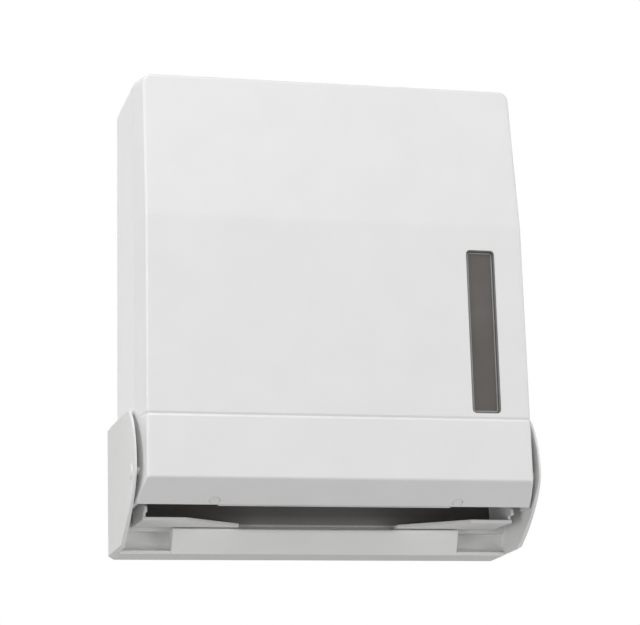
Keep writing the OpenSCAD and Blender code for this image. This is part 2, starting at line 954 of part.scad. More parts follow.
module lock_body() {
    color("silver")
    translate([0, lock_d, 0])
    difference() {
        union() {
            translate([0, 0, cover_top])
                cylinder(r1 = lock_head_r, r2 = lock_head_r - 0.8, h = lock_head_h);
            translate([0, 0, cam_z + cam_t + 0.5])
                cylinder(r = lock_r, h = cover_top - cam_z - cam_t);
        }
        translate([0, 0, cam_z])
            cylinder(r = plug_r + plug_fit, h = 40);
    }
}

module lock_washer() {
    color("silver")
    translate([0, lock_d, washer_z])
    difference() {
        cylinder(r = lock_r + washer_w, h = washer_t);
        translate([0, 0, -1])
            cylinder(r = lock_r + 0.15, h = washer_t + 2);
    }
}

module lock_nut() {
    color("silver")
    translate([0, lock_d, nut_z])
    difference() {
        cylinder(r = lock_r + nut_w, h = nut_h, $fn = 6);
        translate([0, 0, -1])
            cylinder(r = lock_r + 0.05, h = nut_h + 2);
    }
}

module lock_plug() {
    color("gold")
    translate([0, lock_d, 0])
    difference() {
        union() {
            translate([0, 0, cam_z + cam_t])
                cylinder(r = plug_r, h = cover_top + lock_head_h - 0.3 - cam_z - cam_t);
            translate([-cam_square / 2, -cam_square / 2, cam_z + 0.1])
                cube([cam_square, cam_square, cam_t]);
        }
        translate([-0.9, -3.6, cover_top - 6])
            cube([1.8, 7.2, 10 + lock_head_h]);
        translate([0, 0, cam_z - 1])
            cylinder(r = 2.05, h = 9);
    }
}

// Cam with a hook turned down at its tip. Unlocked, it points to the right.
module lock_cam() {
    color("silver")
    translate([0, lock_d, cam_z])
    difference() {
        union() {
            cylinder(r = cam_square + 0.7, h = cam_t);
            translate([0, -cam_w / 2, 0])
                cube([cam_l, cam_w, cam_t]);
            translate([cam_l - hook_t, -cam_w / 2, -hook_h])
                cube([hook_t, cam_w, hook_h + 1]);
        }
        translate([-cam_square / 2 - 0.1, -cam_square / 2 - 0.1, -1])
            cube([cam_square + 0.2, cam_square + 0.2, cam_t + 2]);
    }
}

module cam_screw() {
    color("silver")
    translate([0, lock_d, cam_z])
        rotate([180, 0, 0])
            screw(5.4, 2.4, 2, 7);
}

// Bracket on the back panel with a lip for the cam's hook.
module latch_keeper() {
    lip_d = lock_d + keeper_reach;
    color("silver")
    difference() {
        union() {
            translate([-keeper_w / 2, panel_d - keeper_t, keeper_z])
                cube([keeper_w, keeper_t, keeper_h]);
            translate([-keeper_lip_w / 2, lip_d, keeper_z])
                cube([keeper_lip_w, panel_d - lip_d, keeper_t]);
            translate([-keeper_lip_w / 2, lip_d, keeper_z])
                cube([keeper_lip_w, keeper_t, keeper_lip_h]);
        }
        for (s = [-1, 1])
            translate([s * keeper_screw_x, 0, keeper_screw_z])
                panel_screw_hole();
    }
}

module keeper_screws() {
    color("silver")
    for (s = [-1, 1])
        translate([s * keeper_screw_x, 0, keeper_screw_z])
            panel_screw(panel_d - keeper_t);
}

in_place() rear_housing();
in_place() towel_tray();
in_place() tray_screws();
in_place() left_stack_guide();
in_place() right_stack_guide();
in_place() guide_screws();
in_place() latch_keeper();
in_place() keeper_screws();
in_place() left_hinge_pin();
in_place() right_hinge_pin();
in_place() front_cover();
in_place() level_window();
in_place() window_retainer();
in_place() window_screws();
in_place() exit_lip();
in_place() lip_rivets();
in_place() lock_body();
in_place() lock_washer();
in_place() lock_nut();
in_place() lock_plug();
in_place() lock_cam();
in_place() cam_screw();
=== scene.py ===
"""Folded towel dispenser: a white wall dispenser with a hinged cover, dressed over its CAD frame.

Places are written in millimetres as (x, d, z): x from the middle, d behind the cover's front face and z above
the housing's bottom edge. place() turns them into the row frame in metres. The lamps and the camera have
their places in the row frame itself.
"""

import math

import bmesh
import bpy
import numpy as np
from mathutils import Matrix


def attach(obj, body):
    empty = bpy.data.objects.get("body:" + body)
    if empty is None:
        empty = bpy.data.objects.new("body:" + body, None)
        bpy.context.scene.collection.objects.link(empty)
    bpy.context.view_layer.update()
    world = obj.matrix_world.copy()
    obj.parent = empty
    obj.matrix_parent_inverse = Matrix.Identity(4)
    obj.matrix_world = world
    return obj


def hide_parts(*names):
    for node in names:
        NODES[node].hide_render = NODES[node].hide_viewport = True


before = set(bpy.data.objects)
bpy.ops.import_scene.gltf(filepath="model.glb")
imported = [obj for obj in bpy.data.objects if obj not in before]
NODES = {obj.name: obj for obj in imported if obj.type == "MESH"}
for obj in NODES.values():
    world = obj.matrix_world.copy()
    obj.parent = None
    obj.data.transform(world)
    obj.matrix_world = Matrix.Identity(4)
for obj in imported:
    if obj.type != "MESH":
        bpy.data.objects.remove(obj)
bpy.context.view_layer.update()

MM = 0.001
# the row frame's origin: depth of the wall and height of the middle of the wall screws
WALL_D, SCREW_Z = 125.0, 180.0
# vertices nearer than this are one, in metres
MERGE_DIST = 2e-6
SOFT_SEGMENTS = 2

# front cover: half width, top edge and depth of the rear rim
HALF, TOP, RIM = 145.5, 340.0, 102.0
# the front is narrower than the sides by the inset, which the bevels take up within their depth
FRONT_INSET, BEVEL_D = 5.3, 28.0
# the sides lean in by the taper towards the top, and out by the draft towards the rear. The front's edges
# have leant in by a share of the taper at the break. The top corners are rounded
TOP_TAPER, TAPER_AT_BREAK, REAR_DRAFT, CORNER_R = 1.8, 0.35, 0.5, 7.0
# the front leans back above the break
BREAK_Z, BREAK_R, SLOPE_D = 230.0, 36.0, 13.0
# chin: height of its front edge, and height and depth of its rear edge
CHIN_Z, CHIN_LOW, CHIN_D = 41.0, 26.0, 25.6
COVER_WALL, RIM_SOFT = 2.4, 0.4
# corners of the front: their radius, the part of the bevel they may take and the flat strip kept beside them
EDGE_R, EDGE_SHARE, EDGE_LEAD = 2.5, 0.8, 2.0
# V groove across the front, which fades out at a depth on the bevels
GROOVE_Z, GROOVE_HALF, GROOVE_DEEP, GROOVE_END, GROOVE_FADE = 86.0, 1.6, 0.8, 13.0, 0.7
# the sides' rear edge runs from this depth at the chin back to the rim at this height
CUT_D, CUT_Z = 44.0, 66.0

# rivets in the chin: distance from the middle and from the rear edge, hole, and half the cell left out for it
RIVET_X, RIVET_S, RIVET_HOLE, RIVET_CELL = 89.0, 4.6, 3.9, 5.0

# hinge bosses: place of the pivot, distance inside the cover's half width and sizes of the turned ring
PIVOT_D, PIVOT_Z = 20.0, 48.0
BOSS_IN, BOSS_DEEP, BOSS_R, BOSS_BORE, BOSS_LEAD, BOSS_SOFT = 3.2, 6.0, 7.0, 3.06, 3.5, 0.4

# level window: middle, half sizes and corner of its opening, play, and half the cell left out for it
WINDOW_X, WINDOW_Z = 107.5, 151.0
WINDOW_HALF_X, WINDOW_HALF_Z, WINDOW_R = 10.75, 60.75, 3.0
WINDOW_GAP = 0.2
WINDOW_CELL_X, WINDOW_CELL_Z = 13.5, 62.4
# depths of the pane, of the groove round it, and of the flange's faces, and how far the flange reaches out
PANE_D, MOAT_D, FLANGE_D, FLANGE_BACK, FLANGE_REACH = 2.5, 3.6, 2.55, 4.2, 3.5
# inset of the groove's two walls from the window's edge, and the pane's own corner
MOAT_OUT, MOAT_IN, PANE_R = 0.5, 1.0, 1.0
# the window's screws from its middle, and their bosses: front face, radius, bore and rounding
WINDOW_SCREW_X, WINDOW_SCREW_Z = 7.0, 68.15
STUD_D, STUD_R, STUD_BORE, STUD_SOFT = 2.0, 3.2, 1.3, 0.2

# painted shade on the inner wall: a grey standing in for its shadow, lifting at its lower end where light
# comes in
# its lower end fades to the housing's own tone, fast up to a knee and gently after it
SHADE_FADE, FADE_KNEE, KNEE_LEVEL = 9.0, 0.22, 0.88


def place(points):
    """Millimetre places as row-frame metres: y is d less the wall's depth, z is measured from the screws."""
    return (np.asarray(points, float) - (0.0, WALL_D, SCREW_Z)) * MM


def mirrored(*distances):
    """The distances on both sides of 0, in rising order."""
    right = np.array(distances, float)
    return np.concatenate([-right[::-1], right])


def grid_faces(rows, cols, closed=False):
    """Quads of a grid of rows by cols vertices; closed joins the last column to the first."""
    i = np.arange(rows - 1)[:, None]
    j = np.arange(cols if closed else cols - 1)[None, :]
    k = (j + 1) % cols
    return np.stack([i * cols + j, i * cols + k, (i + 1) * cols + k, (i + 1) * cols + j], -1).reshape(-1, 4)


def make(name, points, faces, materials, tones=None):
    """A mesh object of these places and faces, with vertices that fall together merged."""
    mesh = bpy.data.meshes.new(name)
    mesh.from_pydata(place(points).tolist(), [], np.asarray(faces).tolist())
    for material in materials:
        mesh.materials.append(material)
    if tones is not None:
        mesh.polygons.foreach_set("material_index", np.asarray(tones, np.int32))
    bm = bmesh.new()
    bm.from_mesh(mesh)
    bmesh.ops.remove_doubles(bm, verts=bm.verts, dist=MERGE_DIST)
    bm.to_mesh(mesh)
    bm.free()
    mesh.shade_smooth()
    obj = bpy.data.objects.new(name, mesh)
    bpy.context.scene.collection.objects.link(obj)
    return obj


def mark_border(mesh):
    """Gives the open edges of a skin the full bevel weight."""
    used = np.empty(len(mesh.loops), np.int32)
    mesh.loops.foreach_get("edge_index", used)
    single = np.bincount(used, minlength=len(mesh.edges)) == 1
    weight = mesh.attributes.new("bevel_weight_edge", "FLOAT", "EDGE")
    weight.data.foreach_set("value", single.astype(np.float32))


def flat_shading(obj):
    """Shades large faces flat up to their softened edges."""
    obj.modifiers.new("flat_shading", "WEIGHTED_NORMAL").keep_sharp = True


def arc(corner, before, after, radius, steps):
    """Points of the circle that touches both lines from the corner, from the first line to the second."""
    corner, before, after = (np.asarray(p, float) for p in (corner, before, after))
    back = (before - corner) / np.linalg.norm(before - corner)
    ahead = (after - corner) / np.linalg.norm(after - corner)
    half = math.acos(float(np.clip(back @ ahead, -1, 1))) / 2
    middle = (back + ahead) / np.linalg.norm(back + ahead)
    centre = corner + middle * radius / math.sin(half)
    start = corner + back * radius / math.tan(half) - centre
    t = np.linspace(0, math.pi - 2 * half, steps + 1)[:, None]
    return centre + np.cos(t) * start - np.sin(t) * back * radius


# materials

# noise detail of a finish's tones and of its grain
TONE_DETAIL, GRAIN_DETAIL = 4.0, 3.0
# noise values up to which the low tone is plain and from which the high one is
TONE_STOPS = 0.3, 0.7
RELIEF_STRENGTH = 0.6


def noise(tree, scale, detail, coords):
    """A noise texture's grey value at these coordinates."""
    node = tree.nodes.new("ShaderNodeTexNoise")
    node.inputs["Scale"].default_value = scale
    node.inputs["Detail"].default_value = detail
    tree.links.new(coords, node.inputs["Vector"])
    return node.outputs["Fac"]


def tone_of(tree, low, high, drift):
    """A colour that drifts between two close tones."""
    tone = tree.nodes.new("ShaderNodeValToRGB")
    for stop, position, colour in zip(tone.color_ramp.elements, TONE_STOPS, (low, high)):
        stop.position = position
        stop.color = (*colour, 1.0)
    tree.links.new(drift, tone.inputs["Fac"])
    return tone.outputs["Color"]


def calc(tree, operation, first, second):
    """A math node's result for two sockets, or for a socket and a number."""
    node = tree.nodes.new("ShaderNodeMath")
    node.operation = operation
    tree.links.new(first, node.inputs[0])
    if isinstance(second, float):
        node.inputs[1].default_value = second
    else:
        tree.links.new(second, node.inputs[1])
    return node.outputs[0]


def inside(tree, coords, low, high):
    """1 within the box between two places and 0 outside it. Over the fade above the box's lower end it rises
    from 0, fast up to the knee and gently after it."""
    low, high = place(low), place(high)
    split = tree.nodes.new("ShaderNodeSeparateXYZ")
    tree.links.new(coords, split.inputs[0])
    rise = tree.nodes.new("ShaderNodeMapRange")
    rise.inputs["From Min"].default_value = low[2]
    rise.inputs["From Max"].default_value = low[2] + SHADE_FADE * MM
    tree.links.new(split.outputs[2], rise.inputs["Value"])
    bend = tree.nodes.new("ShaderNodeValToRGB")
    bend.color_ramp.elements.new(FADE_KNEE).color = (KNEE_LEVEL, KNEE_LEVEL, KNEE_LEVEL, 1.0)
    tree.links.new(rise.outputs["Result"], bend.inputs["Fac"])
    mask = bend.outputs["Color"]
    for axis in range(3):
        for bound, test in ((low[axis], "GREATER_THAN"), (high[axis], "LESS_THAN")):
            mask = calc(tree, "MULTIPLY", mask, calc(tree, test, split.outputs[axis], bound))
    return mask


def finish_of(name, low, high, rough, patch=30.0, grain=1500.0, bump=0.0, metallic=0.0, shade_zone=None):
    """A material whose colour drifts between two close tones and whose roughness and surface follow a fine
    grain. shade_zone is the low and high corner of a box that takes the inner wall's painted shade, a dark
    grey."""
    mat = bpy.data.materials.new(name)
    mat.use_nodes = True
    tree = mat.node_tree
    shader = tree.nodes["Principled BSDF"]
    shader.inputs["Metallic"].default_value = metallic
    coords = tree.nodes.new("ShaderNodeTexCoord").outputs["Object"]
    drift = noise(tree, patch, TONE_DETAIL, coords)
    colour = tone_of(tree, low, high, drift)
    if shade_zone:
        # painted shade: within the zone the colour turns to the dark grey of the inner wall's shadow
        shade_blend = tree.nodes.new("ShaderNodeMix")
        shade_blend.data_type = "RGBA"
        tree.links.new(inside(tree, coords, *shade_zone), shade_blend.inputs["Factor"])
        tree.links.new(colour, shade_blend.inputs["A"])
        tree.links.new(tone_of(tree, PAINTED_SHADE_LOW, PAINTED_SHADE_HIGH, drift), shade_blend.inputs["B"])
        colour = shade_blend.outputs["Result"]
    tree.links.new(colour, shader.inputs["Base Color"])
    fine = noise(tree, grain, GRAIN_DETAIL, coords)
    gloss = tree.nodes.new("ShaderNodeMapRange")
    gloss.inputs["To Min"].default_value = rough[0]
    gloss.inputs["To Max"].default_value = rough[1]
    tree.links.new(fine, gloss.inputs["Value"])
    tree.links.new(gloss.outputs["Result"], shader.inputs["Roughness"])
    if bump:
        relief = tree.nodes.new("ShaderNodeBump")
        relief.inputs["Strength"].default_value = RELIEF_STRENGTH
        relief.inputs["Distance"].default_value = bump
        tree.links.new(fine, relief.inputs["Height"])
        tree.links.new(relief.outputs["Normal"], shader.inputs["Normal"])
    return mat


# painted shade: the wall behind the towels lies in shadow and reads dark through the slot, so its face inside
# the compartment is painted grey
PAINTED_SHADE_LOW, PAINTED_SHADE_HIGH = (0.104, 0.096, 0.092), (0.118, 0.110, 0.106)
PANEL_SHADE_ZONE = (-137.0, 91.5, 19.5), (137.0, 93.5, 337.0)
# the tray's rear flange inside the compartment takes the same painted shade
TRAY_SHADE_ZONE = (-134.5, 89.5, 20.0), (134.5, 93.0, 70.0)

COVER = finish_of(
    "cover_plastic", (0.790, 0.790, 0.788), (0.812, 0.812, 0.810), (0.20, 0.27), bump=0.000006
)
# the housing and the tray are painted with the inner wall's shade within their zones
HOUSING = finish_of(
    "housing_plastic", (0.805, 0.803, 0.797), (0.830, 0.828, 0.822), (0.62, 0.70),
    bump=0.000015, shade_zone=PANEL_SHADE_ZONE,
)
TRAY = finish_of(
    "tray_plastic", (0.762, 0.760, 0.755), (0.790, 0.788, 0.783), (0.42, 0.50),
    bump=0.000015, shade_zone=TRAY_SHADE_ZONE,
)
GUIDES = finish_of(
    "guide_plastic", (0.690, 0.690, 0.685), (0.725, 0.725, 0.720), (0.45, 0.55), bump=0.00002
)
PIN = finish_of("pin_plastic", (0.770, 0.770, 0.765), (0.800, 0.800, 0.795), (0.45, 0.55))
WINDOW = finish_of(
    "smoky_window", (0.088, 0.078, 0.070), (0.112, 0.104, 0.097), (0.22, 0.30), patch=22.0, bump=0.000008
)
# painted highlight: the bead round the pane is pale grey for the white room its rounded edge reflects
WINDOW_BEAD_HIGHLIGHT = finish_of("window_bead_highlight", (0.34, 0.33, 0.32), (0.40, 0.39, 0.38), (0.30, 0.40), patch=90.0)
WINDOW_RIM = finish_of("window_rim", (0.19, 0.19, 0.185), (0.23, 0.23, 0.225), (0.35, 0.45), patch=60.0)
STEEL = finish_of(
    "steel", (0.50, 0.50, 0.49), (0.62, 0.61, 0.60), (0.26, 0.40), patch=200.0, metallic=1.0
)
CHROME = finish_of(
    "lock_metal", (0.66, 0.66, 0.65), (0.74, 0.74, 0.73), (0.14, 0.24), patch=120.0, metallic=1.0
)
PLUG = finish_of(
    "plug_metal", (0.58, 0.55, 0.48), (0.68, 0.64, 0.56), (0.20, 0.30), patch=150.0, metallic=1.0
)
ZINC = finish_of(
    "zinc_sheet", (0.55, 0.56, 0.57), (0.66, 0.67, 0.68), (0.30, 0.45), patch=90.0, metallic=1.0
)


# front cover

# rows of the cover's grid: up the chin past the rivets, up the front below the groove, in the groove as parts
# of its half width, beside the window from its middle, above the window, up the slope and round the corners
RIVET_ROWS = RIVET_S + np.array([-RIVET_S, -3.6, -2.0, 0.0, 2.0, 3.6, RIVET_S])
CHIN_ROWS = 14.0, 20.0, 25.0, 27.0
LOWER_ROWS = 44.0, 50.0, 58.0, CUT_Z, 76.0, GROOVE_Z - 1.6 * GROOVE_HALF
GROOVE_ROWS = mirrored(0.12, 0.4, 0.8, 1.0, 1.15)
WINDOW_ROWS = 19.0, 38.0, 50.0, WINDOW_HALF_Z - WINDOW_R, 59.5, 61.0, WINDOW_CELL_Z
UPPER_ROWS = 221.0, 224.5
SLOPE_ROWS = 240.0, 262.0, 285.0, 305.0, 322.0, 330.0
CORNER_TURNS = np.radians([0, 8, 16, 24, 32, 38])

# upright lines of the flat front: near the middle, at a rivet, at the window and at the edge. The rivet
# cell's outer line is the window cell's first one
MIDDLE_LINES = 30.0, 60.0, 78.0
RIVET_LINES = -RIVET_CELL, -3.6, -1.8, 0.0, 1.8, 3.6
WINDOW_LINES = mirrored(3.0, WINDOW_HALF_X - WINDOW_R, 9.75, 11.6, WINDOW_CELL_X)
LAST_LINE = 126.0

# lines round the corner, and parts of the way along the bevel, along the side and back over the top
CORNER_STEPS = np.linspace(0, 1, 7)
BEVEL_STEPS = 0.05, 0.28, 0.5, 0.75, 0.95, 1.0
SIDE_STEPS = 0.03, 0.3, 0.6, 0.9, 1.0
TOP_STEPS = 0.06, 0.35, 0.65, 0.95, 1.0
# the bevel's last line lies this far inside the side wall, which softens the bend between them
BEVEL_END_IN = 0.03

CHIN_FOOT = np.array([CHIN_D, CHIN_LOW])
CHIN_RISE = np.array([-CHIN_D, CHIN_Z - CHIN_LOW])
CHIN_WAY = CHIN_RISE / np.linalg.norm(CHIN_RISE)


def front_rows():
    """The cover's middle line as (d, z) from the chin's rear edge to the top: chin, front and slope with arcs
    between them."""
    front, crest, top = (0.0, CHIN_Z), (0.0, BREAK_Z), (SLOPE_D, TOP)
    chin = np.concatenate([RIVET_ROWS, CHIN_ROWS])
    window = mirrored(*WINDOW_ROWS)
    window = np.insert(window, len(WINDOW_ROWS), 0.0)
    upright = np.concatenate([
        LOWER_ROWS, GROOVE_Z + GROOVE_HALF * GROOVE_ROWS, WINDOW_Z + window, UPPER_ROWS
    ])
    slope = np.concatenate([SLOPE_ROWS, TOP - CORNER_R + CORNER_R * np.sin(CORNER_TURNS)])
    part = (slope - BREAK_Z) / (TOP - BREAK_Z)
    return np.concatenate([
        CHIN_FOOT + chin[:, None] * CHIN_WAY,
        arc(front, CHIN_FOOT, crest, EDGE_R, steps=6),
        np.stack([0 * upright, upright], 1),
        arc(crest, front, top, BREAK_R, steps=4),
        np.stack([part * SLOPE_D, slope], 1),
        arc(top, crest, (RIM, TOP), EDGE_R, steps=10),
    ])


def front_lines():
    """Distances from the middle of the upright lines that the flat front shares from bottom to top."""
    rivet = RIVET_X + np.array(RIVET_LINES)
    right = np.concatenate([MIDDLE_LINES, rivet, WINDOW_X + WINDOW_LINES, [LAST_LINE]])
    return np.concatenate([-right[::-1], [0], right])


def right_edge(rows):
    """x and d of the right corner's, bevel's and side wall's lines in each row, and their outward normals."""
    d, z = rows[:, 0], rows[:, 1]
    lift = (z - CHIN_LOW) / (TOP - CORNER_R - CHIN_LOW)
    shrink = CORNER_R - np.sqrt(np.maximum(CORNER_R ** 2 - np.maximum(z - TOP + CORNER_R, 0) ** 2, 0))
    outer = HALF - TOP_TAPER * np.minimum(lift, 1) - shrink
    taper = np.interp(z, [CHIN_Z, BREAK_Z, TOP], [0, TAPER_AT_BREAK * TOP_TAPER, TOP_TAPER])
    corner = HALF - FRONT_INSET * np.where(z < CHIN_Z, 1 - d / CHIN_D, 1) - taper - shrink
    run, depth = outer - corner, BEVEL_D - d
    length = np.hypot(run, depth)
    along_x, along_d = run / length, depth / length
    turn = np.arctan2(along_d, along_x)
    radius = np.minimum(EDGE_R, EDGE_SHARE * length / np.tan(turn / 2))
    reach = radius * np.tan(turn / 2)
    centre_x, centre_d = corner - reach, d + radius
    zero = np.zeros(len(rows))
    lines = [(centre_x - EDGE_LEAD, d, zero, zero - 1)]
    for t in CORNER_STEPS:
        sine, cosine = np.sin(t * turn), np.cos(t * turn)
        lines.append((centre_x + radius * sine, centre_d - radius * cosine, sine, -cosine))
    for t in BEVEL_STEPS:
        way = reach + t * (length - reach)
        inward = BEVEL_END_IN if t == BEVEL_STEPS[-1] else 0
        lines.append((corner + along_x * way - inward, d + along_d * way, along_d, -along_x))
    rear = np.interp(z, [CHIN_LOW, CUT_Z], [CUT_D, RIM])
    for t in SIDE_STEPS:
        deep = BEVEL_D + t * (rear - BEVEL_D)
        drafted = outer + REAR_DRAFT * (deep - BEVEL_D) / (RIM - BEVEL_D)
        lines.append((drafted, deep, zero + 1, zero))
    return [np.stack(values, 1) for values in zip(*lines)]


def cover_grid(rows):
    """The cover's outer skin as a grid: U sections round the front and sides, one per point of the middle
    line, then the top ruled back from the last section to the rear rim. A V groove dents the front and fades
    out on the bevels."""
    lines = front_lines()
    side_x, side_d, side_out_x, side_out_d = right_edge(rows)
    flat = np.zeros((len(rows), len(lines)))
    x = np.concatenate([-side_x[:, ::-1], flat + lines, side_x], 1)
    d = np.concatenate([side_d[:, ::-1], flat + rows[:, :1], side_d], 1)
    out_x = np.concatenate([-side_out_x[:, ::-1], flat, side_out_x], 1)
    out_d = np.concatenate([side_out_d[:, ::-1], flat - 1, side_out_d], 1)
    groove = np.clip(1 - np.abs(rows[:, 1:] - GROOVE_Z) / GROOVE_HALF, 0, 1)
    dent = GROOVE_DEEP * groove * np.clip(1 - d / GROOVE_END, 0, 1) ** GROOVE_FADE
    sections = np.stack([x - out_x * dent, d - out_d * dent, rows[:, 1:] + 0 * x], -1)

    edge = side_x.shape[1]
    last = sections[-1]
    rim = last.copy()
    rim[:, 1] = RIM
    rim[-edge:, 0] = last[-edge, 0] + np.linspace(0, 1, edge) * (last[-1, 0] - last[-edge, 0])
    rim[:edge, 0] = -rim[-edge:, 0][::-1]
    return np.concatenate([sections, [last + t * (rim - last) for t in TOP_STEPS]])


def window_outline(border):
    """The window opening's rounded outline: each point lies out from the corners' core towards the border."""
    core = (WINDOW_HALF_X - WINDOW_R, WINDOW_HALF_Z - WINDOW_R)
    p = border[:, [0, 2]] - (WINDOW_X, WINDOW_Z)
    near = np.clip(p, np.negative(core), core)
    out = near + WINDOW_R * (p - near) / np.linalg.norm(p - near, axis=1, keepdims=True)
    return np.stack([out[:, 0] + WINDOW_X, 0 * out[:, 0], out[:, 1] + WINDOW_Z], 1)


def rivet_outline(border):
    """A rivet hole's circle in the chin's plane: each point lies out from its middle towards the border."""
    middle = np.sign(border[0, 0]) * RIVET_X
    p = np.stack([border[:, 0] - middle, (border[:, 1:] - CHIN_FOOT) @ CHIN_WAY - RIVET_S], 1)
    out = RIVET_HOLE * p / np.linalg.norm(p, axis=1, keepdims=True)
    back = CHIN_FOOT + (out[:, 1:] + RIVET_S) * CHIN_WAY
    return np.stack([out[:, 0] + middle, back[:, 0], back[:, 1]], 1)


def cover_shell():
    """The cover: its grid without the cells at the window and the rivets, rings of quads from the border of
    those cells to the openings' outlines, and a wall given by a modifier."""
    rows = front_rows()
    grid = cover_grid(rows)
    count, cols = grid.shape[:2]

    def row_at(z):
        return int(np.abs(rows[:, 1] - z).argmin())

    def col_at(x):
        return int(np.abs(grid[row_at(WINDOW_Z), :, 0] - x).argmin())

    openings = [(
        row_at(WINDOW_Z - WINDOW_CELL_Z), row_at(WINDOW_Z + WINDOW_CELL_Z),
        col_at(WINDOW_X - WINDOW_CELL_X), col_at(WINDOW_X + WINDOW_CELL_X), window_outline,
    )]
    for middle in (-RIVET_X, RIVET_X):
        first, last = col_at(middle - RIVET_CELL), col_at(middle + RIVET_CELL)
        openings.append((0, len(RIVET_ROWS) - 1, first, last, rivet_outline))

    keep = np.ones((count - 1, cols - 1), bool)
    index = np.arange(count * cols).reshape(count, cols)
    points, rings = [grid.reshape(-1, 3)], []
    total = count * cols
    for r0, r1, c0, c1, outline in openings:
        keep[r0:r1, c0:c1] = False
        border = np.concatenate([
            index[r0, c0:c1], index[r0:r1, c1], index[r1, c1:c0:-1], index[r1:r0:-1, c0]
        ])
        points.append(outline(points[0][border]))
        own = total + np.arange(len(border))
        total += len(border)
        rings.append(np.stack([border, np.roll(border, -1), np.roll(own, -1), own], 1))
    faces = grid_faces(count, cols)[keep.ravel()]

    obj = make("cover_shell", np.concatenate(points), np.concatenate([faces, *rings]), [COVER])
    mark_border(obj.data)
    solid = obj.modifiers.new("wall", "SOLIDIFY")
    solid.thickness = COVER_WALL * MM
    solid.offset = -1.0
    solid.use_even_offset = True
    soft = obj.modifiers.new("soft_rim", "BEVEL")
    soft.limit_method = "WEIGHT"
    soft.width = RIM_SOFT * MM
    soft.segments = SOFT_SEGMENTS
    flat_shading(obj)
    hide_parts("front_cover")
    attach(obj, "cover")


def turned(profile, centre, axis, sides=40):
    """A surface of revolution: profile pairs (radius, distance along the axis) swept round axis 0 or 1."""
    radius, along = np.asarray(profile, float).T[:, :, None, None]
    t = np.linspace(0, 2 * math.pi, sides, endpoint=False)[:, None]
    way, first, second = np.roll(np.eye(3), -axis, 0)
    points = np.asarray(centre) + radius * (np.cos(t) * first + np.sin(t) * second) + along * way
    return points.reshape(-1, 3), grid_faces(len(profile), sides, closed=True)


def joined(parts):
    """Several (points, faces) as one pair."""
    points, faces, total = [], [], 0
    for part_points, part_faces in parts:
        points.append(part_points)
        faces.append(part_faces + total)
        total += len(part_points)
    return np.concatenate(points), np.concatenate(faces)


def hinge_boss(side):
    """The bored boss inside one side wall, turned round the pivot."""
    inner, near = -BOSS_DEEP, -BOSS_DEEP + BOSS_SOFT
    brim = BOSS_R - BOSS_SOFT
    profile = [
        (BOSS_BORE, 0), (brim, 0), (BOSS_R, -BOSS_SOFT), (BOSS_R, near),
        (brim, inner), (BOSS_LEAD, inner), (BOSS_BORE, near), (BOSS_BORE, 0),
    ]
    profile = [(r, side * (HALF - BOSS_IN + h)) for r, h in profile]
    points, faces = turned(profile, (0, PIVOT_D, PIVOT_Z), axis=0)
    return points, (faces if side < 0 else faces[:, ::-1])


def window_boss(x, z):
    """A boss behind the front for one of the window's screws."""
    rear, brim = FLANGE_BACK, STUD_R - STUD_SOFT
    profile = [
        (STUD_BORE, STUD_D), (STUD_R, STUD_D), (STUD_R, rear - STUD_SOFT),
        (brim, rear), (STUD_BORE, rear), (STUD_BORE, STUD_D),
    ]
    return turned(profile, (x, 0, z), axis=1)


def cover_bosses():
    """Bored hinge bosses inside the side walls and the four window screw bosses, each a turned ring."""
    parts = [hinge_boss(side) for side in (-1, 1)]
    for x in (WINDOW_X - WINDOW_SCREW_X, WINDOW_X + WINDOW_SCREW_X):
        for z in (WINDOW_Z - WINDOW_SCREW_Z, WINDOW_Z + WINDOW_SCREW_Z):
            parts.append(window_boss(x, z))
    obj = make("cover_bosses", *joined(parts), [COVER])
    flat_shading(obj)
    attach(obj, "cover")


